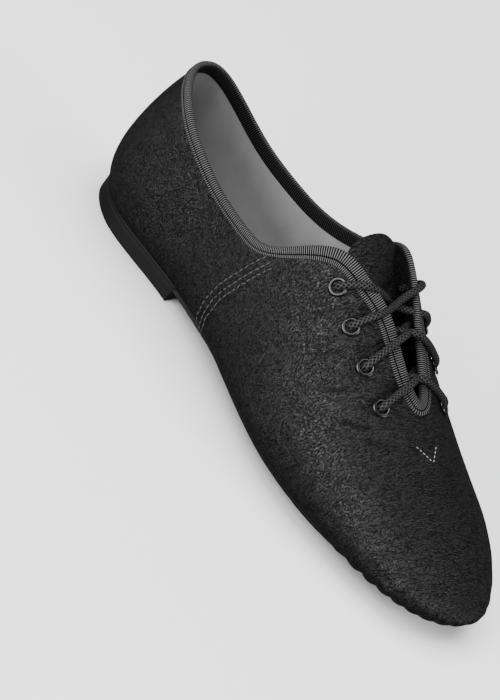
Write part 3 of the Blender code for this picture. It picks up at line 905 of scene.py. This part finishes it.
class SHOE_OT_lining(bpy.types.Operator):
    """Lines the inside of the upper with woven cotton"""

    bl_idname = "shoe.lining"
    bl_label = "Lining"

    def execute(self, context):
        def where(u, v):
            return outer_wall(u, v * LINING_TOP)

        def relief(points, u, v):
            return np.full(len(points), -WALL)

        mesh = sheet("woven_lining", *LINING_GRID, where, relief)
        edited(mesh, bmesh.ops.reverse_faces)
        cloth = weave_material(
            "cotton_drill", context.scene.shoe_colours.lining, context.scene.shoe_sizes.weave
        )
        stand("woven_lining", mesh, cloth)

        # A black leather facing behind the eyelets, laid where the inside of the throat lies in shade,
        # so that it also stands in for that shade.
        def facing(u, v):
            return outer_wall(
                FACING_START[0] + FACING_SPAN[0] * u, FACING_START[1] + FACING_SPAN[1] * v
            )

        def behind(points, u, v):
            return np.full(len(points), -WALL - FACING_LIFT)

        facing_shade = sheet("eyelet_facing_shade", *FACING_GRID, facing, behind)
        stand("eyelet_facing_shade", facing_shade, bpy.data.materials["waxed_calf_leather"])
        return {"FINISHED"}


class SHOE_OT_ribbon(bpy.types.Operator):
    """Folds the ribbed ribbon over the top edge"""

    bl_idname = "shoe.ribbon"
    bl_label = "Topline ribbon"

    def execute(self, context):
        profile = np.array(RIBBON_PROFILE)
        share = np.linspace(0, 1, len(profile))

        def where(u, v):
            outer, inner, rise, height = (np.interp(v, share, column) for column in profile.T)
            depth = ribbon_depth(u)
            plan = below_edge(u, outer * depth + inner * (RIBBON_WIDTH - depth))
            normal = top_normal(*plan.T)
            below = down_from_edge(u, plan)
            return top_point(*plan.T) + (normal * height[:, None] - below * rise[:, None]) / 1000

        ring = np.linspace(0, 1, 4001)
        edge = top_point(*below_edge(ring, 0.5 * ribbon_depth(ring)).T)
        travelled = lengths_along(edge)

        def uv(u, v):
            return np.stack([np.interp(u, ring, travelled), v], -1)

        mesh = sheet("ribbed_ribbon", *RIBBON_GRID, where, None, uv)
        stand("ribbed_ribbon", mesh, ribbon_material(), ["topline_ribbon"])
        return {"FINISHED"}


class SHOE_OT_tongue(bpy.types.Operator):
    """Shapes the tongue under the throat"""

    bl_idname = "shoe.tongue"
    bl_label = "Tongue"

    def execute(self, context):
        def where(u, v):
            x = TONGUE_ROOT + (TONGUE_TOP - TONGUE_ROOT) * u
            wide = TONGUE_WIDTH * (1 - 0.1 * smooth(u))
            x = x + 0.10 * (TONGUE_ROOT - TONGUE_TOP) * (2 * np.abs(v - 0.5)) ** 3 * (2 * u - 1)
            y = axis(x) + (1 - 2 * v) * wide / 2
            seat = WALL + RIBBON_THICK + 2 * FIT_GAP
            under_lace = seat + context.scene.shoe_sizes.lace + 4 * FIT_GAP
            ease = smooth((TONGUE_ROOT - x) / (TONGUE_ROOT - LAST_EYELET - 0.004))
            free = smooth((FIRST_EYELET - x) / (FIRST_EYELET - TONGUE_TOP))
            pressed = TONGUE_PRESS * ease * (1 - free) * (1 - (2 * v - 1) ** 2)
            drop = seat + (under_lace - seat) * ease + TONGUE_DIP * free + pressed
            bowed = axis(x) + (y - axis(x) - TONGUE_TILT * free) * (1 - 0.2 * free)
            down = top_normal(x, bowed) * (1 - free)[:, None] + np.array((0, 0, 1)) * free[:, None]
            return np.stack([x, y, top_height(x, bowed)], -1) - down * drop[:, None]

        mesh = solid(sheet("leather_tongue", *TONGUE_GRID, where), TONGUE_THICK)
        stand("leather_tongue", mesh, bpy.data.materials["waxed_calf_leather"], ["tongue"])
        return {"FINISHED"}


class SHOE_OT_insole(bpy.types.Operator):
    """Lays the covered insole inside"""

    bl_idname = "shoe.insole"
    bl_label = "Insole"

    def execute(self, context):
        def where(u, v):
            side, p = girdle(u)
            reach = np.sqrt(v) * (1 - INSOLE_MARGIN / radius(p, side))
            points = low_point(p, side, reach)
            points[:, 2] += WALL + 3 * FIT_GAP
            return points

        mesh = solid(sheet("covered_insole", *INSOLE_GRID, where), INSOLE_THICK)
        cloth = weave_material(
            "insole_cotton", context.scene.shoe_colours.insole, context.scene.shoe_sizes.weave
        )
        stand("covered_insole", mesh, cloth, ["insole"])
        return {"FINISHED"}


# The heel block: share of the rows on its upper face, the cup's edge, its bevel and sharp angle
BLOCK_TOP = 0.6
CUP_START = 0.45
CUP_SPAN = 0.10
HEEL_BEVEL = 0.0004
SHARP = 0.9


class SHOE_OT_sole(bpy.types.Operator):
    """Cuts the suede sole and moulds the heel block"""

    bl_idname = "shoe.sole"
    bl_label = "Sole and heel"

    def execute(self, context):
        def sole(u, v):
            side, p = girdle(u)
            reach = np.sqrt(v) * (1 - sole_margin(p) / radius(p, side))
            points = low_point(p, side, reach)
            points[:, 2] -= SOLE_GAP + SOLE_THICK
            return points

        mesh = solid(sheet("suede_sole", *SOLE_GRID, sole), SOLE_THICK)
        stand("suede_sole", mesh, suede_material(), ["outsole"])

        def block(u, v):
            side = np.where(u < 0.5, -1, 1)
            p = section_at(HEEL_LENGTH) * np.abs(2 * u - 1)
            level = np.clip((v - BLOCK_TOP) / (1 - BLOCK_TOP), 0, 1)
            edge = 1 - HEEL_MARGIN / radius(p, side)
            points = low_point(p, side, np.minimum(np.sqrt(v / BLOCK_TOP), 1) * edge)
            cup = smooth((v - CUP_START) / CUP_SPAN)
            points[:, 2] -= (SOLE_THICK + SOLE_GAP) * (1 - cup) + HEEL_RIM_GAP * cup
            taper = 1 - 2 * HEEL_TAPER / HEEL_LENGTH * level
            points[:, :2] = ORIGIN[:2] + (points[:, :2] - ORIGIN[:2]) * taper[:, None]
            points[:, 2] *= 1 - level
            return points

        mesh = sheet("rubber_heel", *HEEL_GRID, block)
        made = bmesh.new()
        made.from_mesh(mesh)
        bmesh.ops.holes_fill(made, edges=made.edges)
        bmesh.ops.recalc_face_normals(made, faces=made.faces)
        inner = [edge for edge in made.edges if len(edge.link_faces) == 2]
        sharp = [edge for edge in inner if edge.calc_face_angle() > SHARP]
        bmesh.ops.bevel(
            made, geom=sharp, offset=HEEL_BEVEL, segments=2, affect="EDGES", clamp_overlap=True
        )
        for vertex in made.verts:
            vertex.co.z = max(vertex.co.z, 0.0)
        made.to_mesh(mesh)
        made.free()
        stand("rubber_heel", mesh, rubber_material(), ["heel"])
        return {"FINISHED"}


# Section of an eyelet: radius, and height over the leather, in mm
EYELET_PROFILE = (
    (4.0, 0.10), (4.0, 0.45), (3.85, 0.80), (3.5, 1.02), (3.1, 1.05), (2.8, 0.85), (2.55, 0.45),
    (2.4, -0.2), (2.4, -1.8), (3.2, -2.0), (3.2, -1.75), (2.6, -1.6), (2.6, 0.1),
)
FLANGE_RADIUS = 4.0
FLANGE_WIDTH = 1.6
EYELET_SIDES = 40


class SHOE_OT_eyelets(bpy.types.Operator):
    """Sets the enamelled eyelets"""

    bl_idname = "shoe.eyelets"
    bl_label = "Eyelets"

    def execute(self, context):
        made = bmesh.new()
        made.loops.layers.uv.new("surface")
        for centre, normal in EYELET_PLACES:
            ring = bmesh.new()
            corners = [ring.verts.new((r / 1000, 0, z / 1000)) for r, z in EYELET_PROFILE]
            edges = [ring.edges.new(pair) for pair in zip(corners, corners[1:] + corners[:1])]
            bmesh.ops.spin(
                ring,
                geom=corners + edges,
                axis=(0, 0, 1),
                cent=(0, 0, 0),
                angle=2 * math.pi,
                steps=EYELET_SIDES,
                use_merge=True,
            )
            bmesh.ops.recalc_face_normals(ring, faces=ring.faces)
            turned = Vector(normal).to_track_quat("Z", "Y").to_matrix().to_4x4()
            ring_layer = ring.loops.layers.uv.new("surface")
            for face in ring.faces:
                for loop in face.loops:
                    co = loop.vert.co
                    away = co.xy.length * 1000
                    outer = (FLANGE_RADIUS - away) / FLANGE_WIDTH * 0.5 if co.z > 0 else 0.9
                    loop[ring_layer].uv = (0.0, min(max(outer, 0.0), 1.0))
            ring.transform(Matrix.Translation(centre) @ turned)
            part = bpy.data.meshes.new("ring")
            ring.to_mesh(part)
            ring.free()
            made.from_mesh(part)
            bpy.data.meshes.remove(part)
        mesh = joined("enamel_eyelets", made, outward=False)
        names = [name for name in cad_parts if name.startswith("eyelet_")]
        stand("enamel_eyelets", mesh, enamel_material(), names)
        return {"FINISHED"}


def through_points(points, spacing):
    """A smooth path through points, resampled at an even spacing."""
    points = np.array(points)
    away = np.concatenate([[0], np.cumsum(np.linalg.norm(np.diff(points, axis=0), axis=1) ** 0.5)])
    rows = [(t, *point) for t, point in zip(away, points)]
    columns = ("t", "x", "y", "z")
    fine = np.linspace(0, away[-1], 60 * len(points))
    dense = np.stack([through(columns, rows, name)(fine) for name in columns[1:]], -1)
    travelled = lengths_along(dense)
    even = np.linspace(0, travelled[-1], int(travelled[-1] / spacing) + 1)
    return np.stack([np.interp(even, travelled, dense[:, i]) for i in range(3)], -1)


def tube(name, path, thickness, sides):
    """A round cord along a path, with its lengths round and along as UV."""
    ahead = np.gradient(path, axis=0)
    ahead /= np.linalg.norm(ahead, axis=1, keepdims=True)
    across = np.empty_like(path)
    across[0] = np.cross(ahead[0], (0.3, 0.5, 1.0))
    for i in range(1, len(path)):
        across[i] = across[i - 1] - ahead[i] * (across[i - 1] @ ahead[i])
    across /= np.linalg.norm(across, axis=1, keepdims=True)
    upward = np.cross(ahead, across)
    travelled = lengths_along(path)

    def where(u, v):
        i = np.rint(u * (len(path) - 1)).astype(int)
        turn = 2 * math.pi * v
        out = np.cos(turn)[:, None] * across[i] + np.sin(turn)[:, None] * upward[i]
        return path[i] + out * thickness / 2

    def uv(u, v):
        return np.stack([u * travelled[-1], v * math.pi * thickness], -1)

    return sheet(name, len(path) - 1, sides, where, None, uv)


def lace_run(start, end, stops, sway=0.0):
    """Points of one run between two eyelets: shares of the way and heights over the leather, mm."""
    first, last = (eyelet_place(*eyelet)[0] for eyelet in (start, end))
    share, lift = np.array(stops).T
    x = first[0] + (last[0] - first[0]) * share + sway * np.sin(math.pi * share)
    y = first[1] + (last[1] - first[1]) * share
    return list(top_point(x, y) + top_normal(x, y) * lift[:, None] / 1000)


# Runs of the lace: shares of the way between two eyelets, and heights over the leather in mm
DIVING = (
    (0.0, -2.2), (0.0, 0.2), (0.05, 1.6), (0.1, 1.8), (0.16, 2.0), (0.24, 2.3),
    (0.38, 2.6), (0.44, 1.6), (0.5, -1.0), (0.57, -4.2), (0.7, -4.9), (0.9, -4.9),
    (0.98, -4.4),
)
OVER_ALL = (
    (0.0, -2.2), (0.0, 0.2), (0.05, 1.6), (0.1, 1.8), (0.17, 2.2), (0.25, 1.0),
    (0.33, -0.6), (0.42, -2.0), (0.52, -2.6), (0.62, -1.8), (0.7, 0.0), (0.77, 1.7),
    (0.83, 2.3), (0.9, 2.0), (0.97, 1.4), (1.0, 0.2), (1.0, -2.4), (1.0, -6.0),
)
UNDER_OTHER = (
    (0.0, -2.2), (0.0, 0.2), (0.05, 1.6), (0.1, 1.8), (0.16, 1.9), (0.22, 0.4),
    (0.3, -2.4), (0.4, -5.0), (0.5, -6.0), (0.6, -4.6), (0.7, -1.8), (0.78, 0.8),
    (0.84, 1.9), (0.9, 1.8), (0.97, 1.3), (1.0, 0.2), (1.0, -2.4), (1.0, -6.0),
)

BAR = ((0.02, -4.4), (0.10, -4.9), (0.5, -4.9), (0.90, -4.9), (0.98, -4.4))

# How far the top crossing sways towards the toe, the step of paths and the sides of the lace
LACE_SWAY = 0.0058
PATH_STEP = 0.0005
LACE_SIDES = 20


class SHOE_OT_lace(bpy.types.Operator):
    """Threads the braided lace through the eyelets"""

    bl_idname = "shoe.lace"
    bl_label = "Lace"

    def execute(self, context):
        outer, inner = -1, 1
        first = lace_run((3, outer), (2, inner), DIVING)
        first += lace_run((2, inner), (1, outer), DIVING)
        first += lace_run((1, outer), (0, inner), OVER_ALL, LACE_SWAY)
        other = lace_run((3, inner), (2, outer), DIVING)
        other += lace_run((2, outer), (1, inner), DIVING)
        other += lace_run((1, inner), (0, outer), UNDER_OTHER, LACE_SWAY)
        bar = lace_run((3, outer), (3, inner), BAR)
        route = first[::-1] + bar + other
        path = through_points(route, PATH_STEP)
        mesh = tube("braided_lace", path, context.scene.shoe_sizes.lace, LACE_SIDES)
        edited(mesh, bmesh.ops.recalc_face_normals)
        names = [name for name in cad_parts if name.startswith("lace_")]
        stand("braided_lace", mesh, braid_material(), names)
        return {"FINISHED"}


def stitch_row(made, path, pitch, length, radius):
    """Adds sewn stitches along a path, each a short thread that dips at its ends."""
    travelled = lengths_along(path)
    for centre in np.arange(pitch / 2, travelled[-1], pitch):
        ends = [
            Vector([np.interp(centre + d * length / 2, travelled, path[:, i]) for i in range(3)])
            for d in (-1, 1)
        ]
        ahead = ends[1] - ends[0]
        middle = (ends[0] + ends[1]) / 2
        turned = ahead.to_track_quat("Z", "Y").to_matrix().to_4x4()
        size = Matrix.Diagonal((radius, radius, ahead.length / 2, 1))
        bmesh.ops.create_uvsphere(
            made,
            u_segments=8,
            v_segments=6,
            radius=1.0,
            matrix=Matrix.Translation(middle) @ turned @ size,
        )


def on_leather(path, ahead=0.0, lift=0.0002):
    """A path moved along the shoe, square to itself, and laid back on the dressed leather."""
    leather = bpy.data.objects["leather_upper"].data
    faces = [tuple(face.vertices) for face in leather.polygons]
    tree = BVHTree.FromPolygons([tuple(point) for point in read(leather)], faces)
    run = np.gradient(path, axis=0)
    laid = []
    for point, along in zip(path - ORIGIN, run):
        _, normal, _, _ = tree.find_nearest(Vector(point))
        aside = normal.cross(Vector(along)).normalized()
        aside = aside if aside.x > 0 else -aside
        place, normal, _, _ = tree.find_nearest(Vector(point) + aside * ahead)
        laid.append(np.array(place + normal * lift) + ORIGIN)
    return np.array(laid)


def below_ribbon(path, side):
    """The part of a path that lies below the ribbon's outer edge."""
    u = np.linspace(0.02, 0.48, 400)
    u = u if side < 0 else 1 - u
    edge = top_point(*below_edge(u, ribbon_depth(u)).T)
    away = np.linalg.norm(path[:, None] - edge[None], axis=2)
    return path[int(np.argmin(away.min(axis=1))) :]


# Rows ahead of the side seam, the tack's corners in plan and its stitches, the spacing of seam
# stitches as a share of their length, and a pressed thread's radius as a share of its thickness
SEAM_ROWS = (-0.0022, 0.0014, 0.0040)
TACK_CORNERS = ((0.752 * LENGTH, -0.0052), (0.778 * LENGTH, 0.0031), (0.752 * LENGTH, 0.0080))
TACK_PITCH = 0.0020
TACK_STITCH = 0.0013
SEAM_PITCH = 1.35
PRESSED = 0.36


class SHOE_OT_stitches(bpy.types.Operator):
    """Sews the side seams and the tack at the throat's end"""

    bl_idname = "shoe.stitches"
    bl_label = "Stitches"

    def execute(self, context):
        sizes, colours = context.scene.shoe_sizes, context.scene.shoe_colours
        made = bmesh.new()
        for side in (-1, 1):
            seam = through_points(side_seam(side), PATH_STEP)
            for ahead in SEAM_ROWS:
                row = below_ribbon(on_leather(seam, ahead), side)
                stitch_row(made, row, sizes.stitch * SEAM_PITCH, sizes.stitch, sizes.thread * PRESSED)
        thread = plain_material("waxed_thread", colours.thread, 0.5)
        stand("seam_stitches", joined("seam_stitches", made), thread)
        made = bmesh.new()
        for a, b in zip(TACK_CORNERS, TACK_CORNERS[1:]):
            line = np.linspace(a, b, 40)
            row = on_leather(top_point(*line.T))
            stitch_row(made, row, TACK_PITCH, TACK_STITCH, sizes.thread * PRESSED)
        pale = plain_material("tack_thread", colours.tack, 0.6)
        stand("tack_stitches", joined("tack_stitches", made), pale)
        return {"FINISHED"}


# The stage: the camera's angle to the shoe, its roll and its place were fitted to the photograph
CAMERA_AZIMUTH = math.radians(27.22)
CAMERA_ELEVATION = math.radians(28.15)
CAMERA_ROLL = math.radians(41.11)
CAMERA_TARGET = Vector((0.10419, 0.0, 0.00703))
CAMERA_DISTANCE = 1.7163
SENSOR_HEIGHT = 24
CAMERA_LENS = 4330.6 * SENSOR_HEIGHT / 700

# Lights: name, place, aim, size in metres, power in watts, and whether the shoe mirrors them
LIGHTS = (
    ("key", (0.15, -1.35, 1.25), (0.08, 0, 0.03), (1.3, 0.8), 28, True),
    ("side", (-0.05, -1.7, 0.42), (0.08, 0, 0.04), (1.4, 0.6), 46, True),
    ("front", (1.4, 0.5, 0.6), (0.12, 0, 0.02), (0.8, 0.5), 14, True),
    ("overhead", (-0.4, 0.1, 2.4), (0.08, 0, 0.0), (3.0, 3.0), 145, False),
)
SKY_STRENGTH = 0.11
FLOOR_DROP = 0.0001


def area_light(name, place, aim, size, power, mirrored):
    light = bpy.data.lights.new(name, "AREA")
    light.shape = "RECTANGLE"
    light.size, light.size_y = size
    light.energy = power
    made = bpy.data.objects.new(name, light)
    made.visible_glossy = mirrored
    made.location = place
    made.rotation_euler = (Vector(aim) - Vector(place)).to_track_quat("-Z", "Y").to_euler()
    bpy.context.scene.collection.objects.link(made)


class SHOE_OT_stage(bpy.types.Operator):
    """Sets the floor, the lights and the camera"""

    bl_idname = "shoe.stage"
    bl_label = "Stage"

    def execute(self, context):
        made = bmesh.new()
        bmesh.ops.create_grid(made, x_segments=1, y_segments=1, size=6)
        mesh = joined("studio_floor", made, outward=False)
        mesh.materials.append(plain_material("white_paper", context.scene.shoe_colours.floor, 0.9))
        floor = bpy.data.objects.new("studio_floor", mesh)
        floor.visible_glossy = False
        floor.location.z = -FLOOR_DROP
        context.scene.collection.objects.link(floor)

        world = bpy.data.worlds.new("studio")
        world.use_nodes = True
        sky = world.node_tree.nodes["Background"]
        sky.inputs["Color"].default_value = (1, 1, 1, 1)
        sky.inputs["Strength"].default_value = SKY_STRENGTH
        context.scene.world = world
        for light in LIGHTS:
            area_light(*light)

        around = Vector(
            (
                math.sin(CAMERA_AZIMUTH) * math.cos(CAMERA_ELEVATION),
                -math.cos(CAMERA_AZIMUTH) * math.cos(CAMERA_ELEVATION),
                math.sin(CAMERA_ELEVATION),
            )
        )
        right = (-around).cross(Vector((0, 0, 1))).normalized()
        upward = right.cross(-around)
        rolled_right = right * math.cos(CAMERA_ROLL) + upward * math.sin(CAMERA_ROLL)
        rolled_up = upward * math.cos(CAMERA_ROLL) - right * math.sin(CAMERA_ROLL)
        turned = Matrix((rolled_right, rolled_up, around)).transposed().to_4x4()
        lens = bpy.data.cameras.new("camera")
        lens.sensor_fit = "VERTICAL"
        lens.sensor_height = SENSOR_HEIGHT
        lens.lens = CAMERA_LENS
        lens.clip_end = 20
        camera = bpy.data.objects.new("camera", lens)
        place = CAMERA_TARGET - Vector(ORIGIN) + around * CAMERA_DISTANCE
        camera.matrix_world = Matrix.Translation(place) @ turned
        context.scene.collection.objects.link(camera)
        context.scene.camera = camera
        return {"FINISHED"}


class SHOE_PT_panel(bpy.types.Panel):
    """Lists the shoe's sizes, colours and steps"""

    bl_idname = "SHOE_PT_panel"
    bl_label = "Jazz shoe"
    bl_space_type = "VIEW_3D"
    bl_region_type = "UI"
    bl_category = "Jazz Shoe"

    def draw(self, context):
        for group in (context.scene.shoe_sizes, context.scene.shoe_colours):
            for name in group.__annotations__:
                self.layout.prop(group, name)
        for step in STEPS:
            self.layout.operator(step.bl_idname)


STEPS = (
    SHOE_OT_upper,
    SHOE_OT_lining,
    SHOE_OT_ribbon,
    SHOE_OT_tongue,
    SHOE_OT_insole,
    SHOE_OT_sole,
    SHOE_OT_eyelets,
    SHOE_OT_lace,
    SHOE_OT_stitches,
    SHOE_OT_stage,
)
CLASSES = (ShoeSizes, ShoeColours, *STEPS, SHOE_PT_panel)


def register():
    for each in CLASSES:
        bpy.utils.register_class(each)
    bpy.types.Scene.shoe_sizes = bpy.props.PointerProperty(type=ShoeSizes)
    bpy.types.Scene.shoe_colours = bpy.props.PointerProperty(type=ShoeColours)


def unregister():
    del bpy.types.Scene.shoe_colours
    del bpy.types.Scene.shoe_sizes
    for each in reversed(CLASSES):
        bpy.utils.unregister_class(each)


def main():
    register()
    bpy.ops.shoe.upper()
    bpy.ops.shoe.lining()
    bpy.ops.shoe.ribbon()
    bpy.ops.shoe.tongue()
    bpy.ops.shoe.insole()
    bpy.ops.shoe.sole()
    bpy.ops.shoe.eyelets()
    bpy.ops.shoe.lace()
    bpy.ops.shoe.stitches()
    bpy.ops.shoe.stage()


if __name__ == "__main__":
    main()
